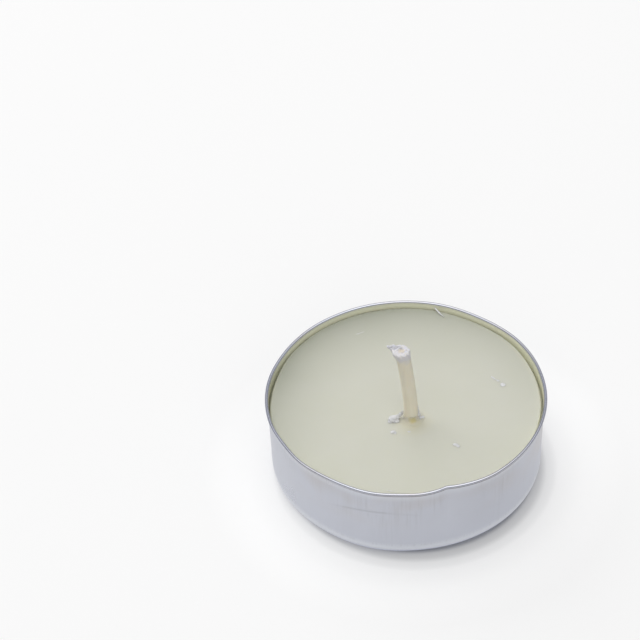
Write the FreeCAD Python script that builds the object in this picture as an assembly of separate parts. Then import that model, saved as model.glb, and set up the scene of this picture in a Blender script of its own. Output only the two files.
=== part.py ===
import FreeCAD, Part
import math
import os

# Tea light candle: a drawn aluminium cup with a curled rim, filled with cast wax.
# A pressed tin sustainer on the cup's floor holds the wick upright inside the wax.
# Lengths are in millimetres and angles in degrees.
# The origin is the middle of the cup's underside, with +Z up.
# Azimuths run counter-clockwise from +X, so the front of the candle is at 270.

# Cup: overall sizes, sheet and corner between wall and base
RIM_RADIUS = 19.0
CUP_HEIGHT = 11.7
SHEET = 0.12
FOOT_RADIUS = 18.36
CORNER_RADIUS = 1.4

# Cup: the rim is rolled outwards and down, until its lip nearly meets the wall
CURL_RADIUS = 0.23
LIP_GAP = 0.05

# Dents of the thin wall, deepest at the rim and gone at the foot
CREASE_AZIMUTH = 284
CREASE_DEPTH = 0.95
CREASE_REACH_LEFT = 18
CREASE_REACH_RIGHT = 34
CREASE_SHARPNESS = 1.4
BACK_RIGHT_FLAT = {"azimuth": 54, "depth": 0.46, "reach": 24}
BACK_HOLLOW = {"azimuth": 124, "depth": 0.22, "reach": 30}
BACK_LEFT_FLAT = {"azimuth": 152, "depth": 0.36, "reach": 20}
LEFT_FLAT = {"azimuth": 208, "depth": 0.28, "reach": 16}
FRONT_LEFT_FLAT = {"azimuth": 234, "depth": 0.40, "reach": 26}
FRONT_HOLLOW = {"azimuth": 256, "depth": 0.18, "reach": 26}
FRONT_RIGHT_FLAT = {"azimuth": 326, "depth": 0.26, "reach": 24}

# A slight outward bulge of the foot, gone at the rim
FOOT_BULGE = {"azimuth": 252, "depth": 0.20, "reach": 26}

# Plan positions: even steps, and closer ones at the crease
AZIMUTH_STEP = 12
CREASE_OFFSETS = (-14, -5, -2, 0, 2, 10)

# Wax: it fills the cup to just below the rim and has shrunk off the wall
WAX_BELOW_RIM = 0.95
WAX_GAP = 0.12
WAX_EDGE_RADIUS = 0.2
WAX_RIGHT_PULL = {"azimuth": 12, "depth": 0.33, "reach": 48}
WAX_LEFT_PULL = {"azimuth": 168, "depth": 0.30, "reach": 22}

# Wick: upright inside the wax, leaning and bending to the left above it
WICK_X = 0.6
WICK_Y = -3.46
WICK_RADIUS = 0.95
WICK_FREE_LENGTH = 12.4
WICK_LEAN = 0.035
WICK_BEND = 0.0055
WICK_CUT_RADIUS = 1.08
WICK_CUT_FLARE = 0.8

# Sustainer: a flat disc with a collar turned up tight round the wick
DISC_RADIUS = 6.25
TIN = 0.25
COLLAR_HEIGHT = 3.0

# Counts of the straight steps that stand for curves, those of the roll for each quarter turn
CORNER_OUTER_CHORD_COUNT = 3
CORNER_INNER_CHORD_COUNT = 2
WALL_BAND_COUNT = 4
CURL_OUTER_CHORD_COUNT = 2
CURL_INNER_CHORD_COUNT = 1
WAX_EDGE_CHORD_COUNT = 2
WICK_SPAN_COUNT = 3

# Sizes that follow from those above
WALL_TOP_RADIUS = RIM_RADIUS - 2 * CURL_RADIUS + SHEET
CURL_HEIGHT = CUP_HEIGHT - CURL_RADIUS
CURL_CENTRE_RADIUS = RIM_RADIUS - CURL_RADIUS
CORNER_CENTRE_RADIUS = FOOT_RADIUS - CORNER_RADIUS
WAX_HEIGHT = CUP_HEIGHT - WAX_BELOW_RIM

DENTS = (
    BACK_RIGHT_FLAT,
    BACK_HOLLOW,
    BACK_LEFT_FLAT,
    LEFT_FLAT,
    FRONT_LEFT_FLAT,
    FRONT_HOLLOW,
    FRONT_RIGHT_FLAT,
)
WAX_PULLS = (WAX_RIGHT_PULL, WAX_LEFT_PULL)
AZIMUTHS = sorted(
    set(range(0, 360, AZIMUTH_STEP)) | {CREASE_AZIMUTH + offset for offset in CREASE_OFFSETS}
)


def turn_between(azimuth, centre):
    """Signed turn in degrees from centre to azimuth, between -180 and 180."""
    return (azimuth - centre + 180) % 360 - 180


def swell(azimuth, place):
    """A smooth rise to the place's depth at its azimuth, and nothing past its reach."""
    share = abs(turn_between(azimuth, place["azimuth"])) / place["reach"]
    if share >= 1:
        return 0.0
    return place["depth"] * math.cos(math.radians(90) * share) ** 2


def crease(azimuth):
    """The sharp fold at the front of the rim, with one steep and one long flank."""
    turn = turn_between(azimuth, CREASE_AZIMUTH)
    reach = CREASE_REACH_RIGHT if turn > 0 else CREASE_REACH_LEFT
    share = min(abs(turn) / reach, 1)
    return CREASE_DEPTH * (1 - share) ** CREASE_SHARPNESS


def dented(share, wax_share=0):
    """Inward shift where the cup's dents, and the wax's own pull, keep these shares."""
    def shift(azimuth):
        dents = crease(azimuth) + sum(swell(azimuth, place) for place in DENTS)
        pulls = sum(swell(azimuth, place) for place in WAX_PULLS)
        return share * dents + wax_share * pulls - (1 - share) * swell(azimuth, FOOT_BULGE)
    return shift


def ring(radius, height, shift):
    """Closed smooth curve round the axis at one height, moved in by the shift."""
    points = []
    for azimuth in AZIMUTHS:
        angle = math.radians(azimuth)
        reach = radius - shift(azimuth)
        points.append(FreeCAD.Vector(reach * math.cos(angle), reach * math.sin(angle), height))
    turns = [math.radians(azimuth) for azimuth in AZIMUTHS] + [2 * math.pi]
    curve = Part.BSplineCurve()
    curve.interpolate(Points=points, PeriodicFlag=True, Parameters=turns)
    return curve


def band(lower, upper):
    """Surface straight across from one ring to another of the same plan positions."""
    surface = Part.BSplineSurface()
    surface.buildFromPolesMultsKnots(
        [lower.getPoles(), upper.getPoles()],
        [2, 2],
        lower.getMultiplicities(),
        [0, 1],
        lower.getKnots(),
        False,
        True,
        1,
        lower.Degree,
    )
    return surface.toShape()


def bands(rings):
    """A band between each ring and the next."""
    return [band(lower, upper) for lower, upper in zip(rings, rings[1:])]


def flat_disc(edge_ring):
    return Part.Face(Part.Wire(edge_ring.toShape()))


def arc_rings(centre_radius, centre_height, radius, start, end, chords, shift):
    """Rings at even steps along an arc of the section."""
    rings = []
    for step in range(chords + 1):
        angle = math.radians(start + (end - start) * step / chords)
        across = centre_radius + radius * math.cos(angle)
        up = centre_height + radius * math.sin(angle)
        rings.append(ring(across, up, shift))
    return rings


def solid_of(faces):
    """Join the faces at their shared rings into one solid."""
    shell = Part.Shell(faces)
    shell.sewShape()
    solid = Part.Solid(shell)
    if solid.Volume < 0:
        solid.reverse()
    return solid


def wall_share(height):
    """How far up the wall a height is, from 0 at the foot to 1 at the curl."""
    return (height - CORNER_RADIUS) / (CURL_HEIGHT - CORNER_RADIUS)


def wall_radius(height):
    return FOOT_RADIUS + (WALL_TOP_RADIUS - FOOT_RADIUS) * wall_share(height)


def wall_rings(inset, low, high, wax_share=0):
    """Rings up the wall, set in from its outside, where the dents deepen evenly upwards."""
    rings = []
    for step in range(WALL_BAND_COUNT + 1):
        share = step / WALL_BAND_COUNT
        height = low + (high - low) * share
        shift = dented(wall_share(height), wax_share * share)
        rings.append(ring(wall_radius(height) - inset, height, shift))
    return rings


def curl_rings(radius, chords):
    """Rings round the rolled rim, from the wall over the top and down to the lip."""
    lip_turn = math.degrees(math.acos((CURL_RADIUS - SHEET - LIP_GAP) / CURL_RADIUS))
    stops = (180, 90, 0, lip_turn - 180)
    rings = []
    for start, end in zip(stops, stops[1:]):
        arc = arc_rings(CURL_CENTRE_RADIUS, CURL_HEIGHT, radius, start, end, chords, dented(1))
        rings += arc[1:] if rings else arc
    return rings


def make_cup():
    """Drawn cup of one sheet: flat base, round corner, dented wall and curled rim."""
    corner_under = arc_rings(
        CORNER_CENTRE_RADIUS, CORNER_RADIUS, CORNER_RADIUS, -90, 0, CORNER_OUTER_CHORD_COUNT, dented(0)
    )
    corner_over = arc_rings(
        CORNER_CENTRE_RADIUS,
        CORNER_RADIUS,
        CORNER_RADIUS - SHEET,
        -90,
        0,
        CORNER_INNER_CHORD_COUNT,
        dented(0),
    )
    wall_under = wall_rings(0, CORNER_RADIUS, CURL_HEIGHT)
    wall_over = wall_rings(SHEET, CORNER_RADIUS, CURL_HEIGHT)
    curl_inside = curl_rings(CURL_RADIUS - SHEET, CURL_INNER_CHORD_COUNT)
    curl_outside = curl_rings(CURL_RADIUS, CURL_OUTER_CHORD_COUNT)
    outside = corner_under[:-1] + wall_under[:-1] + curl_inside
    inside = corner_over[:-1] + wall_over[:-1] + curl_outside
    faces = bands(outside + inside[::-1])
    return solid_of(faces + [flat_disc(corner_under[0]), flat_disc(corner_over[0])])


def make_wax(inserts):
    """Cast fill, flat on the cup's floor and on top, with the inserts' pockets."""
    inset = SHEET + WAX_GAP
    corner_radius = CORNER_RADIUS - inset
    side_start = SHEET + corner_radius
    side_end = WAX_HEIGHT - WAX_EDGE_RADIUS
    edge_centre_radius = wall_radius(side_end) - inset - WAX_EDGE_RADIUS
    edge_shift = dented(wall_share(side_end), 1)
    corner = arc_rings(
        CORNER_CENTRE_RADIUS, side_start, corner_radius, -90, 0, CORNER_INNER_CHORD_COUNT, dented(0)
    )
    side = wall_rings(inset, side_start, side_end, 1)
    edge = arc_rings(
        edge_centre_radius, side_end, WAX_EDGE_RADIUS, 0, 90, WAX_EDGE_CHORD_COUNT, edge_shift
    )
    faces = bands(corner[:-1] + side[:-1] + edge)
    block = solid_of(faces + [flat_disc(corner[0]), flat_disc(edge[-1])])
    return block.cut(inserts)


def wick_circle(radius, height, shift):
    centre = FreeCAD.Vector(WICK_X - shift, WICK_Y, height)
    return Part.Wire(Part.makeCircle(radius, centre))


def make_wick():
    """Round wick: upright in the wax, bent to the left above it and flared at the cut."""
    flare_start = WICK_FREE_LENGTH - WICK_CUT_FLARE
    free_heights = [flare_start * step / WICK_SPAN_COUNT for step in range(WICK_SPAN_COUNT + 1)]
    circles = [wick_circle(WICK_RADIUS, SHEET, 0)]
    for free_height in free_heights + [WICK_FREE_LENGTH]:
        radius = WICK_RADIUS if free_height <= flare_start else WICK_CUT_RADIUS
        shift = WICK_LEAN * free_height + WICK_BEND * free_height ** 2
        circles.append(wick_circle(radius, WAX_HEIGHT + free_height, shift))
    return Part.makeLoft(circles, True, True)


def make_wick_sustainer():
    """Tin disc on the cup's floor, with a collar round the foot of the wick."""
    foot = FreeCAD.Vector(WICK_X, WICK_Y, SHEET)
    disc = Part.makeCylinder(DISC_RADIUS, TIN, foot)
    collar = Part.makeCylinder(WICK_RADIUS + TIN, COLLAR_HEIGHT, foot)
    hole = Part.makeCylinder(WICK_RADIUS, COLLAR_HEIGHT, foot)
    return disc.fuse(collar).cut(hole)


def main():
    os.makedirs("parts", exist_ok=True)
    cup = make_cup()
    wick = make_wick()
    wick_sustainer = make_wick_sustainer()
    wax = make_wax([wick, wick_sustainer])
    nodes = {"cup": cup, "wax": wax, "wick": wick, "wick_sustainer": wick_sustainer}
    for name, shape in nodes.items():
        shape.exportStep("parts/" + name + ".step")


main()
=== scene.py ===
"""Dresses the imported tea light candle: drawn aluminium cup, cast wax, cut wick and loose wax crumbs.

Lengths are in metres and azimuths in degrees, counter-clockwise from +X, with the front at 270.
"""

import math

import bmesh
import bpy
from mathutils import Matrix, Vector, noise


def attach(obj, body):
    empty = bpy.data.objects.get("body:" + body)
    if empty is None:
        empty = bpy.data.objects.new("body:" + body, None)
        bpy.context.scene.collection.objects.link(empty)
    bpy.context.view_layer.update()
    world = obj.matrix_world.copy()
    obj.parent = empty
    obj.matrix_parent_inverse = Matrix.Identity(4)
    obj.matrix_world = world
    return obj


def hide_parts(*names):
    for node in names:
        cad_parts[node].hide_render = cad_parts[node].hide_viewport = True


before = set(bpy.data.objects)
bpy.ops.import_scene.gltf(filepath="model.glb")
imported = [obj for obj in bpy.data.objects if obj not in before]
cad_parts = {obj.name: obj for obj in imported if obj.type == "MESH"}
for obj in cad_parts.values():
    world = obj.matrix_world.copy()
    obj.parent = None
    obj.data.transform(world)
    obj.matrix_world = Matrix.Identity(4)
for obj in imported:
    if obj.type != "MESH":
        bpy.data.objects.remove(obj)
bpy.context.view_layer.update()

bl_info = {
    "name": "Tea Light Candle",
    "version": (1, 0, 0),
    "blender": (4, 5, 0),
    "location": "3D Viewport > Sidebar > Tea Light",
    "description": "Builds a tea light in a dented aluminium cup, with its studio",
    "category": "Add Mesh",
}

MM = 0.001

# Dents of the cup: azimuth, depth in millimetres and reach in degrees. They lie near those of the
# solid model and are up to 0.3 mm shallower, as a later look at the photo showed.
DENTS = (
    (54, 0.24, 24),
    (124, 0.09, 30),
    (150, 0.18, 24),
    (208, 0.16, 15),
    (234, 0.20, 22),
    (268, 0.20, 16),
)
FOOT_BULGE = (252, 0.20, 26)
CREASE_AZIMUTH = 284.5
CREASE_DEPTH = 0.80
CREASE_REACH_LEFT = 14
CREASE_REACH_RIGHT = 22
CREASE_SHARPNESS = 1.5

# The dents of the cup's floor and of the fill fade out between these radii
CUP_DENT_FADE = (12 * MM, 16.5 * MM)
WAX_DENT_FADE = (13 * MM, 17 * MM)

# Places where the shrinking wax has pulled further off the wall, given as the dents are
WAX_PULLS = (
    (12, 0.33, 48),
    (168, 0.30, 22),
)

# How far the edge of the cup is rolled outwards and down, in degrees
CURL_TURN = 290

# The hidden tin sustainer, for which the fill has a pocket
DISC_RADIUS = 6.25 * MM
TIN = 0.25 * MM
COLLAR_RADIUS = 1.2 * MM
COLLAR_HEIGHT = 3.0 * MM

# The fill is centred on the wick within the first radius and on the cup beyond the second
WICK_CENTRING = (6.5 * MM, 16 * MM)
# Section of the wax that climbs the wick: millimetres outwards, share of the climb, and steps
CREEP_PROFILE = ((0.14, 0.8, 3), (0.34, 0.3, 3), (0.80, 0, 4))

# Above the wax, the wick lies to the left by a share of its height, and by so much per metre of height
# squared, so that its cut is shifted by about the last length
WICK_LEAN = 0.035
WICK_BEND = 5.5
CUT_SHIFT = 1.26 * MM

# How rough the lumps of loose wax are
LUMPINESS = 0.34

# Steps round each turned piece
CUP_STEPS = 480
WAX_STEPS = 360
WICK_STEPS = 96


def clamp(value):
    return min(max(value, 0.0), 1.0)


def ease(low, high, value):
    """A smooth step from 0 at low to 1 at high."""
    share = clamp((value - low) / (high - low))
    return share * share * (3 - 2 * share)


def polar(point):
    """The radius and azimuth of a point about the cup's axis."""
    return math.hypot(point.x, point.y), math.degrees(math.atan2(point.y, point.x)) % 360


def turn_between(azimuth, centre):
    """Signed turn in degrees from centre to azimuth, between -180 and 180."""
    return (azimuth - centre + 180) % 360 - 180


def swell(azimuth, place):
    """A smooth rise, in metres, to the place's depth at its azimuth."""
    centre, depth, reach = place
    share = min(abs(turn_between(azimuth, centre)) / reach, 1)
    return depth * MM * math.cos(math.radians(90) * share) ** 2


def crease(azimuth):
    """The sharp fold at the front of the rim, with one steep and one long flank."""
    turn = turn_between(azimuth, CREASE_AZIMUTH)
    reach = CREASE_REACH_RIGHT if turn > 0 else CREASE_REACH_LEFT
    share = min(abs(turn) / reach, 1)
    return CREASE_DEPTH * MM * (1 - share) ** CREASE_SHARPNESS


def dents(azimuth):
    return crease(azimuth) + sum(swell(azimuth, place) for place in DENTS)


def pulls(azimuth):
    return sum(swell(azimuth, place) for place in WAX_PULLS)


def bump(distance, width):
    """A round bump of height 1, gone at about twice its width."""
    return math.exp(-((distance / width) ** 2))


class SectionPen:
    """Draws a section in the XZ plane as a chain of edges, to be spun round Z."""

    def __init__(self, bm, radius, height):
        self.bm = bm
        self.tip = bm.verts.new((radius, 0, height))

    def line(self, radius, height, steps=1):
        stride = (Vector((radius, 0, height)) - self.tip.co) / steps
        for _ in range(steps):
            grown = bmesh.ops.extrude_vert_indiv(self.bm, verts=[self.tip])
            self.tip = grown["verts"][0]
            bmesh.ops.translate(self.bm, verts=[self.tip], vec=stride)

    def arc(self, centre_radius, centre_height, turn, steps):
        """Round a centre by a turn in degrees, positive from +X towards +Z."""
        centre = Vector((centre_radius, 0, centre_height))
        stride = Matrix.Rotation(math.radians(turn / steps), 3, (0, -1, 0))
        for _ in range(steps):
            grown = bmesh.ops.extrude_vert_indiv(self.bm, verts=[self.tip])
            self.tip = grown["verts"][0]
            bmesh.ops.rotate(self.bm, verts=[self.tip], cent=centre, matrix=stride)


def spin_full(bm, steps):
    """Turn the drawn section once round Z, as one wedge and its copies, and weld them."""
    wedges = 12
    turn = math.radians(360 / wedges)
    section = bm.verts[:] + bm.edges[:]
    upright = {"cent": (0, 0, 0), "axis": (0, 0, 1)}
    bmesh.ops.spin(bm, geom=section, angle=turn, steps=steps // wedges, **upright)
    wedge = bm.verts[:] + bm.edges[:] + bm.faces[:]
    rest = turn * (wedges - 1)
    bmesh.ops.spin(bm, geom=wedge, angle=rest, steps=wedges - 1, use_duplicate=True, **upright)
    bmesh.ops.remove_doubles(bm, verts=bm.verts[:], dist=0.001 * MM)


def reshape(bm, move):
    """Move each vertex of a turned piece, by its radius, azimuth and height."""
    for vertex in bm.verts:
        vertex.co = move(*polar(vertex.co), vertex.co.z)


def at(radius, azimuth, height):
    """The point at a radius, azimuth and height about the cup's axis."""
    angle = math.radians(azimuth)
    return Vector((radius * math.cos(angle), radius * math.sin(angle), height))


def strand(bm, points, radii):
    """A tapering strand through the points, whose radii are in millimetres, with closed ends."""
    ring = bmesh.ops.create_circle(bm, segments=10, radius=radii[0] * MM, cap_ends=True)["verts"]
    upright = Vector((0, 0, 1))
    heading = (points[1] - points[0]).normalized()
    turn = upright.rotation_difference(heading).to_matrix()
    bmesh.ops.rotate(bm, verts=ring, cent=(0, 0, 0), matrix=turn)
    bmesh.ops.translate(bm, verts=ring, vec=points[0])
    tip = [face for face in bm.faces if all(vertex in ring for vertex in face.verts)]
    for step in range(1, len(points)):
        grown = bmesh.ops.extrude_discrete_faces(bm, faces=tip)
        tip = grown["faces"]
        ring = tip[0].verts[:]
        bmesh.ops.translate(bm, verts=ring, vec=points[step] - points[step - 1])
        shrink = radii[step] / radii[step - 1]
        here = Matrix.Translation(-points[step])
        bmesh.ops.scale(bm, verts=ring, vec=(shrink,) * 3, space=here)
    bmesh.ops.holes_fill(bm, edges=[edge for edge in bm.edges if edge.is_boundary])


def blob(bm, place, half_sizes, turn, seed):
    """A rough lump of wax, given by its middle and half sizes in millimetres and its turn in degrees."""
    lump = bmesh.ops.create_icosphere(bm, subdivisions=4, radius=1.0)["verts"]
    for vertex in lump:
        coarse = noise.noise(vertex.co * 1.6 + Vector((seed, 0, 0)))
        fine = noise.noise(vertex.co * 4.5 + Vector((0, seed, 0)))
        vertex.co *= 1 + LUMPINESS * coarse + 0.4 * LUMPINESS * fine
    bmesh.ops.scale(bm, verts=lump, vec=Vector(half_sizes) * MM)
    bmesh.ops.rotate(bm, verts=lump, cent=(0, 0, 0), matrix=Matrix.Rotation(math.radians(turn), 3, "Z"))
    bmesh.ops.translate(bm, verts=lump, vec=Vector(place) * MM)


def finish_piece(bm, name, material, stands_for=()):
    """Turn a bmesh into a shaded piece of the candle, with its place in its mesh."""
    bmesh.ops.recalc_face_normals(bm, faces=bm.faces[:])
    for face in bm.faces:
        face.smooth = True
    mesh = bpy.data.meshes.new(name)
    bm.to_mesh(mesh)
    bm.free()
    mesh.materials.append(material)
    piece = bpy.data.objects.new(name, mesh)
    bpy.context.scene.collection.objects.link(piece)
    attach(piece, "root")
    for node in stands_for:
        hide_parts(node)
    return piece


class Shader:
    """A material's node tree, with a short way to add and join nodes."""

    def __init__(self, name):
        self.material = bpy.data.materials.new(name)
        self.material.use_nodes = True
        self.nodes = self.material.node_tree.nodes
        self.links = self.material.node_tree.links
        self.surface = self.nodes["Principled BSDF"]
        self.output = self.nodes["Material Output"]
        self.place = self.nodes.new("ShaderNodeTexCoord").outputs["Object"]

    def add(self, kind, settings=None, **inputs):
        """A node with its settings. Its inputs take a value or another node's socket.

        Each input goes by its name, or by its place as _0, _1 and so on where names repeat.
        """
        node = self.nodes.new("ShaderNode" + kind)
        for key, value in (settings or {}).items():
            setattr(node, key, value)
        for key, value in inputs.items():
            socket = node.inputs[int(key[1:])] if key[1:].isdigit() else node.inputs[key.replace("_", " ")]
            self.feed(socket, value)
        return node

    def feed(self, socket, value):
        if isinstance(value, bpy.types.NodeSocket):
            self.links.new(value, socket)
        else:
            socket.default_value = value

    def set(self, **inputs):
        """Set or join inputs of the surface shader."""
        for key, value in inputs.items():
            self.feed(self.surface.inputs[key.replace("_", " ")], value)

    def stretched(self, scale, location=(0, 0, 0)):
        """The piece's own coordinates, scaled along each axis and then shifted."""
        return self.add("Mapping", Vector=self.place, Scale=scale, Location=location).outputs["Vector"]

    def distance(self, place):
        """How far the piece's surface is from a place."""
        return self.add("VectorMath", {"operation": "DISTANCE"}, _0=self.place, _1=place).outputs["Value"]

    def noise(self, vector, scale, detail=2.0):
        return self.add("TexNoise", Vector=vector, Scale=scale, Detail=detail).outputs["Fac"]

    def height(self):
        return self.add("SeparateXYZ", Vector=self.place).outputs["Z"]

    def attribute(self, name):
        return self.add("Attribute", {"attribute_name": name}).outputs["Fac"]

    def ramp(self, value, stops):
        """A colour ramp over (position, colour) stops."""
        node = self.add("ValToRGB", Fac=value)
        band = node.color_ramp
        while len(band.elements) < len(stops):
            band.elements.new(0.5)
        for element, (position, colour) in zip(band.elements, stops):
            element.position = position
            element.color = (*colour[:3], 1)
        return node.outputs["Color"]

    def fade(self, value, stops):
        """A ramp of grey levels over (position, level) stops."""
        return self.ramp(value, [(position, (level,) * 3) for position, level in stops])

    def math(self, operation, first, second, limit=False):
        node = self.add("Math", {"operation": operation, "use_clamp": limit}, _0=first, _1=second)
        return node.outputs["Value"]

    def mix(self, share, first, second, blend="MIX"):
        node = self.add("Mix", {"data_type": "RGBA", "blend_type": blend}, _0=share, _6=first, _7=second)
        return node.outputs[2]

    def relief(self, height, depth, under=None):
        """A bump of a depth in metres, over another bump's normal if there is one."""
        node = self.add("Bump", Height=height, Distance=depth)
        if under is not None:
            self.feed(node.inputs["Normal"], under)
        return node.outputs["Normal"]


def linear(red, green, blue):
    """A colour given as 0 to 255 in a picture, as the shaders' linear values."""
    def one(value):
        value = value / 255
        if value <= 0.04045:
            return value / 12.92
        return ((value + 0.055) / 1.055) ** 2.4
    return (one(red), one(green), one(blue), 1.0)


def colour_setting(name, description, colour):
    return bpy.props.FloatVectorProperty(
        name=name, description=description, default=colour[:3], size=3, subtype="COLOR", min=0, max=1
    )


def length_setting(name, description, millimetres):
    return bpy.props.FloatProperty(
        name=name, description=description, default=millimetres * MM, unit="LENGTH", precision=5
    )


def angle_setting(name, description, degrees):
    return bpy.props.FloatProperty(
        name=name, description=description, default=math.radians(degrees), subtype="ANGLE"
    )


class CupSettings(bpy.types.PropertyGroup):
    rim_radius: length_setting("Rim radius", "Outer radius of the rolled rim, without dents", 19.0)
    height: length_setting("Height", "From the underside to the top of the rim", 11.7)
    sheet: length_setting("Sheet", "Thickness of the aluminium", 0.12)
    foot_radius: length_setting("Foot radius", "Outer radius at the foot of the wall", 18.36)
    corner_radius: length_setting("Corner radius", "Outer radius between wall and base", 1.4)
    curl_radius: length_setting("Curl radius", "Outer radius of the roll of the rim", 0.23)
    unevenness: length_setting("Unevenness", "Depth of the slight waves in the handled wall", 0.05)
    colour: colour_setting("Aluminium", "Colour of the drawn sheet", (0.66, 0.68, 0.745))
    # Colour of a pale film of wax on the inside of the wall, which also paints the wax's reflection there
    # and lightens its shade
    film_and_reflection: colour_setting("Wax film", "Colour of the wax left inside the wall", linear(250, 249, 224))


class WaxSettings(bpy.types.PropertyGroup):
    below_rim: length_setting("Below rim", "How far the wax lies under the top of the rim", 0.95)
    gap: length_setting("Gap", "Least gap between the wax and the wall", 0.12)
    edge_radius: length_setting("Edge radius", "Rounding of the wax's upper edge", 0.2)
    creep: length_setting("Creep", "How far the wax climbs the wick", 0.6)
    colour: colour_setting("Wax", "Colour of the cast wax", linear(213, 213, 201))
    # Colour of the painted shade that the rim throws on the wax at its back left edge
    rim_shade_colour: colour_setting("Dull wax", "Colour of the dull wax at the back left edge", linear(172, 174, 160))
    # Colour of a yellowish spot in front of the wick's foot
    yellow_spot: colour_setting("Stain", "Colour of the oily spot by the wick", linear(229, 215, 156))


class WickSettings(bpy.types.PropertyGroup):
    x: length_setting("X", "Place of the wick's foot along X", 0.6)
    y: length_setting("Y", "Place of the wick's foot along Y", -3.46)
    radius: length_setting("Radius", "Mean radius of the wick", 0.95)
    free_length: length_setting("Free length", "Height of the cut above the wax", 12.4)
    cut_radius: length_setting("Cut radius", "Radius of the flared cut", 1.08)
    colour: colour_setting("Cotton", "Colour of the waxed cotton", linear(243, 237, 219))
    cut_colour: colour_setting("Cut", "Colour of the crushed wax on the cut", linear(225, 223, 226))
    core_colour: colour_setting("Core", "Colour of the threads inside the cut", linear(226, 212, 186))


class StageSettings(bpy.types.PropertyGroup):
    floor: colour_setting("Floor", "Colour of the floor under the candle", (0.50, 0.50, 0.50))
    glow: bpy.props.FloatProperty(
        name="Glow", description="Light added to the open floor for the camera", default=0.49
    )
    mirrored_glow: bpy.props.FloatProperty(
        name="Mirrored glow", description="Light added to the floor in the metal", default=0.42
    )
    lens: bpy.props.FloatProperty(
        name="Lens", description="Focal length of the camera in millimetres", default=162.32
    )
    place: bpy.props.FloatVectorProperty(
        name="Camera place", description="Where the camera stands", size=3, subtype="TRANSLATION",
        default=(-11.18 * MM, -278.88 * MM, 280.94 * MM)
    )
    pitch: angle_setting("Pitch", "How far the camera looks down", 42.455)
    roll: angle_setting("Roll", "Turn of the camera about its own line of sight", 1.91)


def curl_height(cup):
    return cup.height - cup.curl_radius


def wall_top_radius(cup):
    return cup.rim_radius - 2 * cup.curl_radius + cup.sheet


def wall_share(cup, height):
    """How far up the wall a height is, from 0 at the foot to 1 at the curl."""
    return clamp((height - cup.corner_radius) / (curl_height(cup) - cup.corner_radius))


def wall_radius(cup, height):
    return cup.foot_radius + (wall_top_radius(cup) - cup.foot_radius) * wall_share(cup, height)


def wax_height(cup, wax):
    return cup.height - wax.below_rim


def cut_height(cup, wax, wick):
    return wax_height(cup, wax) + wick.free_length


# Painted shade of the wall, darker up the wall and blue-grey at the foot's edge: the share of the cup's
# height, and the colour by which the sheet is multiplied
WALL_PAINTED_SHADES = (
    (0.03, (0.76, 0.80, 0.92)),
    (0.06, (0.85, 0.88, 0.96)),
    (0.09, (1, 1, 1)),
    (0.12, (1, 1, 1)),
    (0.16, (0.96, 0.96, 0.965)),
    (0.85, (0.88, 0.875, 0.875)),
)
# Painted highlight bands at the foot and under the rim: the share of the cup's height, and the band's
# strength
WALL_HIGHLIGHT_BANDS = ((0.06, 0), (0.10, 1), (0.12, 1), (0.19, 0), (0.86, 0), (0.92, 0.35), (0.955, 0))
# Colour of the painted highlight bands
HIGHLIGHT_BAND_COLOUR = (0.73, 0.75, 0.80, 1)
# Colour of the painted shade under the roll and along the buckle and fold
CREASE_SHADE_COLOUR = (0.20, 0.19, 0.19, 1)


def smeared_sheet(shader, cup, clouds, climb):
    """The sheet's own colour, cloudy all over and smeared with a warm grey in its upper part."""
    smears = shader.noise(shader.stretched((1, 1, 1.6), (0.03, 0.01, 0)), 110)
    upper = shader.fade(climb, [(0.40, 0), (0.62, 1)])
    smeared = shader.math("MULTIPLY", shader.fade(smears, [(0.42, 0), (0.66, 1)]), upper)
    warm = (cup.colour[0] * 0.98, cup.colour[1] * 0.945, cup.colour[2] * 0.90, 1)
    colour = shader.mix(smeared, (*cup.colour, 1), warm)
    return shader.mix(1.0, colour, shader.fade(clouds, [(0.3, 0.95), (0.7, 1)]), "MULTIPLY")


def draw_lines(shader, colour, height, climb):
    """Upright lines left by the drawing: in patches up the wall, and a row of ticks by the foot."""
    lines = shader.noise(shader.stretched((1, 1, 0.05)), 3400, detail=3)
    patches = shader.noise(shader.stretched((1, 1, 0.7), (0.02, 0, 0)), 260)
    rising = shader.fade(climb, [(0.30, 0.35), (0.75, 1)])
    patchy = shader.math("MULTIPLY", shader.fade(patches, [(0.42, 0), (0.68, 1)]), rising)
    faint = shader.ramp(lines, [(0.34, (0.93, 0.925, 0.915)), (0.55, (1, 1, 1))])
    colour = shader.mix(patchy, colour, faint, "MULTIPLY")
    row = shader.fade(shader.math("DIVIDE", height, 3 * MM), [(0.48, 0), (0.58, 1), (0.70, 0)])
    ticks = shader.ramp(lines, [(0.38, (0.84, 0.84, 0.83)), (0.54, (1, 1, 1))])
    return shader.mix(row, colour, ticks, "MULTIPLY")


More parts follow.
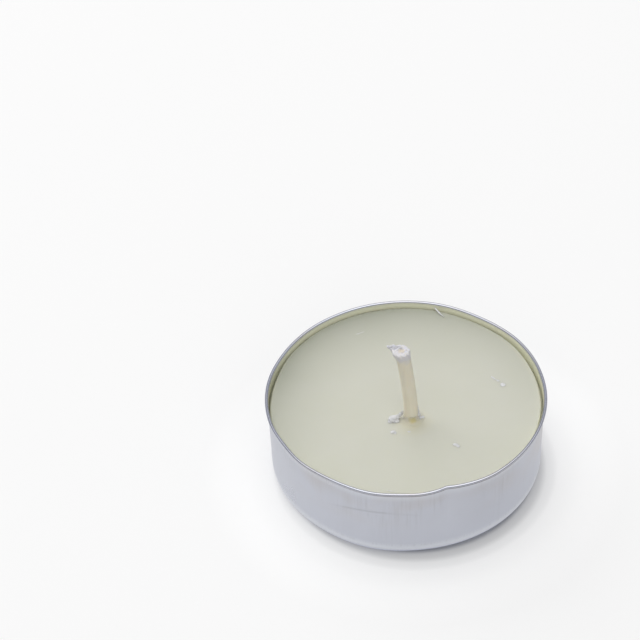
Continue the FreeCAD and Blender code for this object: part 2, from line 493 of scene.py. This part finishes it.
def aluminium(cup):
    """Satin drawn sheet with faint patchy draw lines and warm smears, painted shade under the roll and
    along the buckle and fold, and a pale film of wax inside that also paints the wax's reflection.

    Painted shade darkens it up the wall and tints the foot's edge blue-grey, and it has painted highlights
    in a band near the foot and in a fainter one under the rim.
    """
    shader = Shader("Drawn aluminium sheet")
    clouds = shader.noise(shader.place, 170, detail=3)
    height = shader.height()
    climb = shader.math("DIVIDE", height, cup.height, limit=True)
    colour = draw_lines(shader, smeared_sheet(shader, cup, clouds, climb), height, climb)
    # Painted shade over the height, then the painted highlight bands
    colour = shader.mix(1.0, colour, shader.ramp(climb, WALL_PAINTED_SHADES), "MULTIPLY")
    colour = shader.mix(shader.fade(climb, WALL_HIGHLIGHT_BANDS), colour, HIGHLIGHT_BAND_COLOUR)
    # Painted shade under the roll and along the buckle and fold
    colour = shader.mix(shader.attribute("roll_and_crease_shade"), colour, CREASE_SHADE_COLOUR)
    # Pale, less metallic film of wax on the inner wall, which also paints the wax's reflection
    film_and_reflection = shader.attribute("film_and_reflection")
    shader.set(Base_Color=shader.mix(film_and_reflection, colour, (*cup.film_and_reflection, 1)))
    shader.set(Metallic=shader.math("SUBTRACT", 1.0, shader.math("MULTIPLY", film_and_reflection, 0.9)))
    rough = shader.add("MapRange", Value=clouds, From_Min=0.3, From_Max=0.7, To_Min=0.27, To_Max=0.36)
    rolled = shader.math("GREATER_THAN", height, cup.height - 2 * cup.curl_radius)
    polished = shader.math("MULTIPLY", rolled, 0.16)
    shader.set(Roughness=shader.math("SUBTRACT", rough.outputs["Result"], polished))
    shader.set(Normal=shader.relief(clouds, 0.03 * MM))
    return shader.material


def buckle(azimuth, height):
    """A shallow bend of the wall, bowed from left to right across the front, between 0 and 1."""
    bow = (7.87 - 0.0021 * turn_between(azimuth, 258) ** 2) * MM
    along = ease(233, 247, azimuth) * (1 - 0.7 * ease(257, 264, azimuth)) * (1 - ease(267, 276, azimuth))
    return along * bump(height - bow, 0.13 * MM)


def fold(azimuth, height):
    """A short upright fold that crosses the buckle, between 0 and 1."""
    along = ease(6.2 * MM, 7.4 * MM, height) * (1 - ease(9.8 * MM, 10.8 * MM, height))
    leaning = 251.6 - 0.35 * (height / MM - 8)
    return along * bump(turn_between(azimuth, leaning), 0.35)


class CANDLE_OT_cup(bpy.types.Operator):
    """Build the drawn cup with its dented wall and rolled rim"""

    bl_idname = "candle.cup"
    bl_label = "Cup"

    def execute(self, context):
        cup = context.scene.candle_cup
        bm = bmesh.new()
        corner_centre = cup.foot_radius - cup.corner_radius
        curl_centre = cup.rim_radius - cup.curl_radius
        top = curl_height(cup)
        pen = SectionPen(bm, 0, 0)
        pen.line(corner_centre, 0, 8)
        pen.arc(corner_centre, cup.corner_radius, 90, 10)
        pen.line(wall_top_radius(cup), top, 60)
        pen.arc(curl_centre, top, -CURL_TURN, 16)
        towards_centre = Vector((curl_centre, 0, top)) - pen.tip.co
        lip = pen.tip.co - towards_centre.normalized() * cup.sheet
        pen.line(lip.x, lip.z, 2)
        pen.arc(curl_centre, top, CURL_TURN, 32)
        pen.line(cup.foot_radius - cup.sheet, cup.corner_radius, 16)
        pen.arc(corner_centre, cup.corner_radius, -90, 6)
        pen.line(0, cup.sheet, 6)
        spin_full(bm, CUP_STEPS)
        self.mark(bm, cup, wax_height(cup, context.scene.candle_wax))
        reshape(bm, lambda *where: self.dent(cup, *where))
        finish_piece(bm, "drawn_cup", aluminium(cup), ["cup"])
        return {"FINISHED"}

    def mark(self, bm, cup, wax_level):
        """Note where shade is painted under the roll and along the buckle and fold, and where a pale film
        of wax, which also paints the wax's reflection, lies on the inside of the wall.
        """
        roll_and_crease_shade = bm.verts.layers.float.new("roll_and_crease_shade")
        film_and_reflection = bm.verts.layers.float.new("film_and_reflection")
        for vertex in bm.verts:
            radius, azimuth = polar(vertex.co)
            height = vertex.co.z
            under_roll = radius > cup.rim_radius - cup.curl_radius and height < curl_height(cup) + 0.03 * MM
            inside = height > cup.corner_radius and radius < wall_radius(cup, height) - 0.9 * cup.sheet
            # Painted shade: dark under the roll, most at the front and right, and faint along the buckle
            # and fold
            if under_roll:
                vertex[roll_and_crease_shade] = 0.10 + 0.78 * ease(224, 258, azimuth) * (1 - ease(334, 354, azimuth))
            else:
                vertex[roll_and_crease_shade] = 0.25 * max(buckle(azimuth, height), 0.45 * fold(azimuth, height))
            # The film, and the painted reflection of the wax, reach from just under the wax's level to just
            # under the rim
            if inside:
                splashed = ease(wax_level - 2 * MM, wax_level - 1 * MM, height)
                bare = ease(cup.height - 0.26 * MM, cup.height - 0.14 * MM, height)
                vertex[film_and_reflection] = splashed * (1 - bare)

    def dent(self, cup, radius, azimuth, height):
        """Where a point of the turned cup lies once the cup is dented."""
        share = wall_share(cup, height)
        inward = share * dents(azimuth) - (1 - share) * swell(azimuth, FOOT_BULGE)
        inward += 0.045 * MM * max(buckle(azimuth, height), 0.4 * fold(azimuth, height))
        direction = at(1, azimuth, 0)
        wave = noise.noise(Vector((direction.x * 4.5, direction.y * 4.5, height / MM * 0.16)))
        inward += cup.unevenness * 0.5 * (1 + wave) * ease(0, 0.25, share)
        return at(radius - inward * ease(*CUP_DENT_FADE, radius), azimuth, height)


# Wax that climbs the wick: whiter, and also painted lighter against the shade between the wick and the wax
CLIMBED_LIGHTENED_COLOUR = linear(236, 229, 219)


def cast_wax(cup, wax, wick):
    """Pale wax: light gets into it, and it is faintly mottled and yellowish in front of the wick. It is
    whiter, and painted lighter, where it climbs the wick, and darkened by painted shade of the rim at its
    back left edge.
    """
    shader = Shader("Cast wax")
    top = wax_height(cup, wax)
    mottle = shader.noise(shader.place, 120, detail=3)
    # A yellowish spot in front of the wick's foot, with a ragged edge
    near = shader.distance((wick.x + 0.1 * MM, wick.y - 0.86 * MM, top + 0.5 * MM))
    ragged = shader.math("MULTIPLY", shader.noise(shader.place, 1500), 0.5 * MM)
    reach = shader.math("DIVIDE", shader.math("ADD", near, ragged), 3.4 * MM, limit=True)
    yellowed = shader.fade(reach, [(0.17, 0.95), (0.27, 0.30), (0.60, 0.11), (1.0, 0)])
    deep = (wax.colour[0] * 0.975, wax.colour[1] * 0.98, wax.colour[2] * 0.96, 1)
    body = shader.mix(shader.fade(mottle, [(0.3, 0), (0.7, 1)]), (*wax.colour, 1), deep)
    # Painted shade of the rim at the wax's back left edge
    body = shader.mix(shader.attribute("painted_rim_shade"), body, (*wax.rim_shade_colour, 1))
    # The wax that climbs the wick takes the whiter, partly painted lighter colour
    over = shader.math("SUBTRACT", shader.height(), top + 0.05 * MM)
    climbed = shader.math("DIVIDE", over, 0.6 * MM, limit=True)
    body = shader.mix(climbed, body, CLIMBED_LIGHTENED_COLOUR)
    shader.set(Base_Color=shader.mix(yellowed, body, (*wax.yellow_spot, 1)), Roughness=0.45, IOR=1.43)
    shader.set(Subsurface_Weight=0.6, Subsurface_Radius=(1.0, 0.97, 0.85), Subsurface_Scale=1.5 * MM)
    shader.set(Normal=shader.relief(shader.noise(shader.place, 700, detail=4), 0.01 * MM))
    return shader.material


class CANDLE_OT_wax(bpy.types.Operator):
    """Build the cast wax, shrunk off the wall, with a hole for the wick"""

    bl_idname = "candle.wax"
    bl_label = "Wax"

    def execute(self, context):
        cup = context.scene.candle_cup
        wax = context.scene.candle_wax
        wick = context.scene.candle_wick
        bm = bmesh.new()
        top = wax_height(cup, wax)
        inset = cup.sheet + wax.gap
        edge_height = top - wax.edge_radius
        edge_radius = wall_radius(cup, edge_height) - inset
        corner_centre = cup.foot_radius - cup.corner_radius
        against_wall = cup.sheet + 0.02 * MM
        hole = wick.radius - 0.06 * MM
        disc_top = cup.sheet + TIN
        collar_top = cup.sheet + COLLAR_HEIGHT
        pen = SectionPen(bm, hole, top + wax.creep)
        for outwards, climb, steps in CREEP_PROFILE:
            pen.line(hole + outwards * MM, top + climb * wax.creep, steps)
        pen.line(WICK_CENTRING[0], top, 24)
        pen.line(edge_radius - wax.edge_radius, top, 44)
        pen.arc(edge_radius - wax.edge_radius, edge_height, -90, 8)
        pen.line(edge_radius, edge_height - 0.3 * MM, 3)
        pen.line(wall_radius(cup, edge_height) - against_wall, edge_height - 0.7 * MM, 3)
        pen.line(cup.foot_radius - against_wall, cup.corner_radius, 12)
        pen.arc(corner_centre, cup.corner_radius, -90, 6)
        pen.line(DISC_RADIUS, pen.tip.co.z, 8)
        pen.line(DISC_RADIUS, disc_top, 1)
        pen.line(COLLAR_RADIUS, disc_top, 4)
        pen.line(COLLAR_RADIUS, collar_top, 2)
        pen.line(hole, collar_top, 1)
        pen.line(hole, top + wax.creep, 10)
        spin_full(bm, WAX_STEPS)
        # How much painted rim shade each vertex takes
        painted_rim_shade = bm.verts.layers.float.new("painted_rim_shade")
        for vertex in bm.verts:
            vertex[painted_rim_shade] = self.rim_shade_share(*polar(vertex.co))
        reshape(bm, lambda *where: self.settle(cup, wax, wick, *where))
        finish_piece(bm, "wax_fill", cast_wax(cup, wax, wick), ["wax"])
        return {"FINISHED"}

    def settle(self, cup, wax, wick, radius, azimuth, height):
        """Fit the turned wax to the dented wall outside and to the wick inside."""
        top = wax_height(cup, wax)
        share = wall_share(cup, height)
        rise = ease(top - 1.2 * MM, top - 0.3 * MM, height)
        inward = share * dents(azimuth) + rise * pulls(azimuth)
        inward -= (1 - share) * swell(azimuth, FOOT_BULGE)
        direction = at(1, azimuth, 0)
        inward += rise * 0.03 * MM * (1 + noise.noise(direction * 6))
        point = at(radius - inward * ease(*WAX_DENT_FADE, radius), azimuth, height)
        point += Vector((wick.x, wick.y, 0)) * (1 - ease(*WICK_CENTRING, radius))
        if height > top:
            point.z = top + (height - top) * self.creep(azimuth)
        surface = ease(top - 0.3 * MM, top, height)
        swirl = noise.noise(Vector((point.x, point.y, 0)) / (3.2 * MM))
        point.z += surface * 0.025 * MM * swirl
        return point

    def rim_shade_share(self, radius, azimuth):
        """How much painted shade of the rim darkens the wax, most at its back left edge, and not at all at
        the front.
        """
        turn = turn_between(azimuth, 130)
        reach = 62 if turn > 0 else 125
        return clamp((radius - 8 * MM) / (9.8 * MM)) ** 2 * (1 - clamp((abs(turn) - 30) / reach))

    def creep(self, azimuth):
        """How high the wax climbs round the wick, highest at the front and the right."""
        front = 1.1 * bump(turn_between(azimuth, 275), 60)
        return 0.7 + front + 0.35 * noise.noise(at(2.5, azimuth, 0))


def waxed_cotton(cup, wax, wick):
    """Waxed cotton: beige and faintly lined lengthways, white on the cut, with a warm core."""
    shader = Shader("Waxed cotton wick")
    top = cut_height(cup, wax, wick)
    threads = shader.noise(shader.stretched((1, 1, 0.12)), 1600, detail=3)
    blots = shader.noise(shader.place, 1100)
    above = shader.math("SUBTRACT", shader.height(), top - 1.5 * MM)
    spread = shader.math("ADD", above, shader.math("MULTIPLY", blots, 0.9 * MM))
    whitened = shader.math("DIVIDE", spread, 1.1 * MM, limit=True)
    lined = shader.ramp(threads, [(0.35, (0.95, 0.94, 0.92)), (0.65, (1, 1, 1))])
    cotton = shader.mix(1.0, (*wick.colour, 1), lined, "MULTIPLY")
    skin = shader.mix(whitened, cotton, (*wick.cut_colour, 1))
    away = shader.distance((wick.x - CUT_SHIFT, wick.y, top - 0.05 * MM))
    reach = shader.math("ADD", away, shader.math("MULTIPLY", blots, 0.25 * MM))
    warm = shader.fade(shader.math("DIVIDE", reach, 0.8 * MM), [(0.45, 0.75), (0.85, 0)])
    shader.set(Base_Color=shader.mix(warm, skin, (*wick.core_colour, 1)), Roughness=0.5)
    shader.set(Subsurface_Weight=0.4, Subsurface_Radius=(1.0, 0.9, 0.7), Subsurface_Scale=0.6 * MM)
    grained = shader.relief(blots, 0.03 * MM)
    shader.set(Normal=shader.relief(threads, 0.02 * MM, under=grained))
    return shader.material


# Tuft of crushed wax that sticks out from the cut: steps from its middle and half sizes, in millimetres
TUFT = (
    ((-0.20, 0.62, -0.42), (0.46, 0.36, 0.32)),
    ((-0.62, 0.84, -0.42), (0.46, 0.38, 0.32)),
    ((-0.98, 0.66, -0.44), (0.46, 0.40, 0.34)),
    ((-1.06, 1.00, -0.38), (0.40, 0.34, 0.30)),
    ((-1.34, 0.98, -0.40), (0.34, 0.30, 0.30)),
    ((-1.64, 1.06, -0.34), (0.28, 0.20, 0.20)),
)


class CANDLE_OT_wick(bpy.types.Operator):
    """Build the wick, bent to the left above the wax and flared at its cut"""

    bl_idname = "candle.wick"
    bl_label = "Wick"

    def execute(self, context):
        cup = context.scene.candle_cup
        wax = context.scene.candle_wax
        wick = context.scene.candle_wick
        bm = bmesh.new()
        top = cut_height(cup, wax, wick)
        rounding = 0.16 * MM
        pen = SectionPen(bm, 0, cup.sheet)
        pen.line(wick.radius, cup.sheet, 4)
        pen.line(wick.radius, top - 1.8 * MM, 70)
        pen.line(wick.radius, top - rounding, 30)
        pen.arc(wick.radius - rounding, top - rounding, 90, 4)
        pen.line(0, top, 16)
        spin_full(bm, WICK_STEPS)
        reshape(bm, lambda *where: self.shape(cup, wax, wick, *where))
        cut = Vector((wick.x - CUT_SHIFT, wick.y, top)) / MM
        for seed, (step, half_sizes) in enumerate(TUFT):
            blob(bm, cut + Vector(step), half_sizes, -12, 5.3 * seed)
        finish_piece(bm, "cut_wick", waxed_cotton(cup, wax, wick), ["wick"])
        return {"FINISHED"}

    def shape(self, cup, wax, wick, radius, azimuth, height):
        """Where a point of the turned wick lies once it is twisted, bent, and flared at a rough cut."""
        free = max(height - wax_height(cup, wax), 0)
        cut = ease(wick.free_length - 2.0 * MM, wick.free_length - 0.3 * MM, free)
        twist = math.radians(6 * azimuth) + free / MM * 0.5
        strands = 0.015 * MM * math.cos(twist) * ease(0, 2 * MM, free)
        across = at(1, azimuth, 0)
        rough = noise.noise(Vector((across.x * 2.2, across.y * 2.2, height / MM * 0.8)))
        torn = noise.noise(Vector((across.x * 3.5, across.y * 3.5, height / MM * 1.6)))
        flare = wick.cut_radius - wick.radius + 0.22 * MM * bump(turn_between(azimuth, 165), 70)
        outer = radius / wick.radius
        grown = outer * (strands + 0.03 * MM * rough + cut * (flare + 0.13 * MM * torn))
        shift = WICK_LEAN * free + WICK_BEND * free ** 2
        point = at(radius + grown, azimuth, height) + Vector((wick.x - shift, wick.y, 0))
        crumbly = noise.noise(Vector((point.x, point.y, 0)) / (0.3 * MM))
        face = ease(wick.free_length - 0.25 * MM, wick.free_length, free)
        hollow = 1 - ease(0.1, 0.5, outer)
        point.z += face * 0.13 * MM * (crumbly - 1.0 - 0.5 * hollow)
        return point


# Loose crumbs on the wax: middle, half sizes and turn, in millimetres and degrees
CRUMBS = (
    ((-1.84, -3.80, 10.94), (0.62, 0.50, 0.44), 10),
    ((-2.20, -4.00, 10.80), (0.42, 0.36, 0.26), 60),
    ((-1.45, -4.10, 10.80), (0.40, 0.34, 0.22), 30),
    ((-1.30, -3.62, 11.10), (0.40, 0.30, 0.36), 40),
    ((-0.92, -3.52, 11.40), (0.26, 0.22, 0.34), 20),
    ((-0.62, -3.46, 11.75), (0.16, 0.16, 0.36), 0),
    ((-1.98, -6.12, 10.76), (0.36, 0.28, 0.13), 15),
    ((-1.66, -6.30, 10.75), (0.22, 0.16, 0.07), 70),
    ((1.66, -3.72, 10.92), (0.34, 0.30, 0.26), 10),
    ((1.58, -3.66, 11.35), (0.24, 0.24, 0.40), 0),
    ((1.54, -3.62, 11.95), (0.14, 0.18, 0.44), 0),
    ((1.45, -3.60, 12.70), (0.07, 0.10, 0.42), 0),
    ((1.98, -3.50, 10.76), (0.34, 0.34, 0.09), -30),
    ((0.15, -6.12, 10.735), (0.28, 0.15, 0.025), 0),
    ((6.22, -8.86, 10.76), (0.36, 0.26, 0.06), -22),
    ((6.52, -9.16, 10.76), (0.26, 0.20, 0.05), 30),
    ((12.05, 3.62, 10.75), (0.50, 0.12, 0.03), -48),
    ((12.60, 3.10, 10.75), (0.26, 0.14, 0.03), -30),
    ((13.20, 2.30, 10.75), (0.36, 0.32, 0.05), -35),
    ((-7.95, 4.05, 10.74), (0.14, 0.07, 0.015), 20),
)
# Thin strands of scraped wax: points, and the radius at each, in millimetres
STRANDS = (
    (
        ((4.78, 17.60, 11.35), (5.05, 17.30, 11.12), (5.45, 16.80, 10.92), (5.99, 16.15, 10.80)),
        (0.05, 0.12, 0.13, 0.04),
    ),
    (
        ((-7.26, 13.13, 10.70), (-6.00, 13.35, 10.69), (-5.30, 13.70, 10.69), (-4.74, 14.01, 10.70)),
        (0.02, 0.08, 0.08, 0.02),
    ),
    (
        ((-3.45, -16.70, 10.70), (-2.75, -16.95, 10.69), (-2.04, -17.13, 10.70)),
        (0.03, 0.11, 0.03),
    ),
)


def loose_wax():
    """Crumbled wax, whiter than the fill because it is full of tiny cracks."""
    shader = Shader("Crumbled wax")
    grain = shader.noise(shader.place, 2600, detail=3)
    tone = shader.ramp(grain, [(0.3, linear(218, 218, 219)), (0.7, linear(228, 228, 230))])
    shader.set(Base_Color=tone, Roughness=0.7, IOR=1.35)
    shader.set(Normal=shader.relief(grain, 0.02 * MM))
    return shader.material


class CANDLE_OT_crumbs(bpy.types.Operator):
    """Scatter the crumbs, flakes and shaving of wax that lie on the fill"""

    bl_idname = "candle.crumbs"
    bl_label = "Crumbs"

    def execute(self, context):
        bm = bmesh.new()
        for seed, (place, half_sizes, turn) in enumerate(CRUMBS):
            blob(bm, place, half_sizes, turn, seed * 3.7)
        material = loose_wax()
        finish_piece(bm, "wax_crumbs", material)
        bm = bmesh.new()
        for points, radii in STRANDS:
            strand(bm, [Vector(point) * MM for point in points], radii)
        finish_piece(bm, "wax_shavings", material)
        return {"FINISHED"}


class CANDLE_OT_sustainer(bpy.types.Operator):
    """Give the hidden tin sustainer its tinplate finish"""

    bl_idname = "candle.sustainer"
    bl_label = "Sustainer"

    def execute(self, context):
        shader = Shader("Tinplate")
        grain = shader.noise(shader.stretched((1, 12, 1)), 900)
        tone = shader.ramp(grain, [(0.3, (0.58, 0.58, 0.58)), (0.7, (0.68, 0.68, 0.69))])
        shader.set(Base_Color=tone, Metallic=1.0, Roughness=0.35)
        shader.set(Normal=shader.relief(grain, 0.01 * MM))
        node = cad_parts["wick_sustainer"]
        node.data.materials.clear()
        node.data.materials.append(shader.material)
        return {"FINISHED"}


# Lamps, all aimed at the candle: name, width and height, place in metres, power in watts,
# and whether the metal shows it
LAMPS = (
    ("Key from the back left", (1.0, 1.0), (-0.35, 0.55, 0.75), 4.2, False),
    ("Overhead", (1.0, 1.0), (0.0, 0.05, 0.95), 2.8, True),
    ("Low window at the back left", (1.2, 0.34), (-0.62, 0.78, 0.19), 2.8, False),
    ("Front fill", (1.2, 1.2), (0.1, -0.9, 0.75), 3.8, False),
)


# The stage, in metres: half the floor's width, and a grey band round the candle for the metal to mirror
FLOOR_HALF_WIDTH = 3.0
BAND_RADIUS = 1.2
BAND_HEIGHT = 1.1
BAND_GREY = (0.38, 0.39, 0.45, 1)

# Middle of the painted shadow under the cup, and the floor's glow for the camera round it, held back
# close to the cup so that it paints a deeper shadow there: radius in millimetres and share of the full glow
PAINTED_SHADOW_MIDDLE = (1.1 * MM, -1.9 * MM, 0)
GLOW_REACH = 30
GLOW_STOPS = (
    (15.8, 0.02),
    (16.4, 0.36),
    (17.2, 0.48),
    (18.0, 0.83),
    (18.8, 0.90),
    (19.6, 1.05),
    (23.0, 1.06),
    (29.0, 0.97),
)

# Strength of the soft room: the light it throws, and how the camera and the metal see it
ROOM_LIGHT = 0.30
ROOM_SEEN = 0.92


class CANDLE_OT_stage(bpy.types.Operator):
    """Set up the pale floor, the soft lights, the background and the camera"""

    bl_idname = "candle.stage"
    bl_label = "Stage"

    def execute(self, context):
        stage = context.scene.candle_stage
        self.floor(stage)
        self.background(context.scene)
        for name, size, place, watts, shown in LAMPS:
            self.lamp(name, size, place, watts, shown)
        self.grey_band()
        self.camera(context.scene, stage)
        context.scene.view_settings.view_transform = "Standard"
        return {"FINISHED"}

    def backdrop(self, name, bm, light, metal_only=False):
        """Put up a glowing piece of the stage. One for the metal only shows nowhere but in reflections."""
        mesh = bpy.data.meshes.new(name)
        bm.to_mesh(mesh)
        bm.free()
        piece = bpy.data.objects.new(name, mesh)
        bpy.context.scene.collection.objects.link(piece)
        mesh.materials.append(light.material)
        if metal_only:
            piece.visible_camera = False
            piece.visible_diffuse = False
            piece.visible_transmission = False
            piece.visible_shadow = False

    def floor(self, stage):
        """A wide floor that glows for the camera and in the metal. The camera's glow is held back close to
        the cup, which paints a deeper shadow there.
        """
        bm = bmesh.new()
        bmesh.ops.create_grid(bm, x_segments=2, y_segments=2, size=FLOOR_HALF_WIDTH)
        shader = Shader("Pale floor")
        shader.nodes.remove(shader.surface)
        away = shader.distance(PAINTED_SHADOW_MIDDLE)
        stops = [(radius / GLOW_REACH, share * stage.glow) for radius, share in GLOW_STOPS]
        lift = shader.fade(shader.math("DIVIDE", away, GLOW_REACH * MM, limit=True), stops)
        path = shader.add("LightPath").outputs
        seen = shader.math("MULTIPLY", path["Is Camera Ray"], lift)
        mirrored = shader.math("MAXIMUM", path["Is Glossy Ray"], path["Is Transmission Ray"])
        strength = shader.math("ADD", seen, shader.math("MULTIPLY", mirrored, stage.mirrored_glow))
        matt = shader.add("BsdfDiffuse", Color=(*stage.floor, 1))
        glow = shader.add("Emission", Color=(1, 1, 1, 1), Strength=strength)
        both = shader.add("AddShader", _0=matt.outputs["BSDF"], _1=glow.outputs["Emission"])
        shader.feed(shader.output.inputs["Surface"], both.outputs["Shader"])
        self.backdrop("floor", bm, shader)

    def grey_band(self):
        """A grey band round the room, seen only in the metal, that draws the edges of the rim."""
        bm = bmesh.new()
        size = {"radius1": BAND_RADIUS, "radius2": BAND_RADIUS, "depth": BAND_HEIGHT}
        bmesh.ops.create_cone(bm, cap_ends=False, segments=64, **size)
        bmesh.ops.translate(bm, verts=bm.verts, vec=(0, 0, BAND_HEIGHT / 2))
        shader = Shader("Grey band")
        shader.nodes.remove(shader.surface)
        glow = shader.add("Emission", Color=BAND_GREY, Strength=1.0)
        shader.feed(shader.output.inputs["Surface"], glow.outputs["Emission"])
        self.backdrop("grey_band", bm, shader, metal_only=True)

    def background(self, scene):
        """A white room that is brighter to the camera and in the metal than the light it throws."""
        world = bpy.data.worlds.new("Soft room")
        world.use_nodes = True
        scene.world = world
        nodes, links = world.node_tree.nodes, world.node_tree.links
        path = nodes.new("ShaderNodeLightPath")
        seen = nodes.new("ShaderNodeMath")
        seen.operation = "MAXIMUM"
        links.new(path.outputs["Is Camera Ray"], seen.inputs[0])
        links.new(path.outputs["Is Glossy Ray"], seen.inputs[1])
        strength = nodes.new("ShaderNodeMapRange")
        strength.inputs["To Min"].default_value = ROOM_LIGHT
        strength.inputs["To Max"].default_value = ROOM_SEEN
        links.new(seen.outputs["Value"], strength.inputs["Value"])
        links.new(strength.outputs["Result"], nodes["Background"].inputs["Strength"])
        nodes["Background"].inputs["Color"].default_value = (1, 1, 1, 1)

    def lamp(self, name, size, place, watts, shown):
        light = bpy.data.lights.new(name, "AREA")
        light.shape = "RECTANGLE"
        light.size, light.size_y = size
        light.energy = watts
        lamp = bpy.data.objects.new(name, light)
        lamp.location = place
        lamp.rotation_euler = (Vector((0, 0, 0)) - lamp.location).to_track_quat("-Z", "Y").to_euler()
        lamp.visible_glossy = shown
        bpy.context.scene.collection.objects.link(lamp)

    def camera(self, scene, stage):
        lens = bpy.data.cameras.new("Camera")
        lens.lens = stage.lens
        lens.sensor_width = 36
        lens.clip_start = 0.01
        camera = bpy.data.objects.new("Camera", lens)
        down = Matrix.Rotation(math.radians(90) - stage.pitch, 4, "X")
        turned = Matrix.Rotation(-stage.roll, 4, "Z")
        camera.matrix_world = Matrix.Translation(stage.place) @ down @ turned
        scene.collection.objects.link(camera)
        scene.camera = camera


class CANDLE_PT_panel(bpy.types.Panel):
    """Lists the pieces of the candle in the order in which they are built"""

    bl_idname = "CANDLE_PT_panel"
    bl_label = "Tea Light"
    bl_space_type = "VIEW_3D"
    bl_region_type = "UI"
    bl_category = "Tea Light"

    def draw(self, context):
        for group, operators in STEPS:
            box = self.layout.box()
            settings = getattr(context.scene, group)
            for key in settings.__annotations__:
                box.prop(settings, key)
            for operator in operators:
                box.operator(operator.bl_idname)


STEPS = (
    ("candle_cup", (CANDLE_OT_cup,)),
    ("candle_wax", (CANDLE_OT_wax,)),
    ("candle_wick", (CANDLE_OT_wick, CANDLE_OT_crumbs, CANDLE_OT_sustainer)),
    ("candle_stage", (CANDLE_OT_stage,)),
)
GROUPS = {
    "candle_cup": CupSettings,
    "candle_wax": WaxSettings,
    "candle_wick": WickSettings,
    "candle_stage": StageSettings,
}
CLASSES = (*GROUPS.values(), *(operator for _, row in STEPS for operator in row), CANDLE_PT_panel)


def register():
    for cls in CLASSES:
        bpy.utils.register_class(cls)
    for name, group in GROUPS.items():
        setattr(bpy.types.Scene, name, bpy.props.PointerProperty(type=group))


def unregister():
    for name in GROUPS:
        delattr(bpy.types.Scene, name)
    for cls in reversed(CLASSES):
        bpy.utils.unregister_class(cls)


def main():
    register()
    bpy.ops.candle.cup()
    bpy.ops.candle.wax()
    bpy.ops.candle.wick()
    bpy.ops.candle.crumbs()
    bpy.ops.candle.sustainer()
    bpy.ops.candle.stage()


if __name__ == "__main__":
    main()
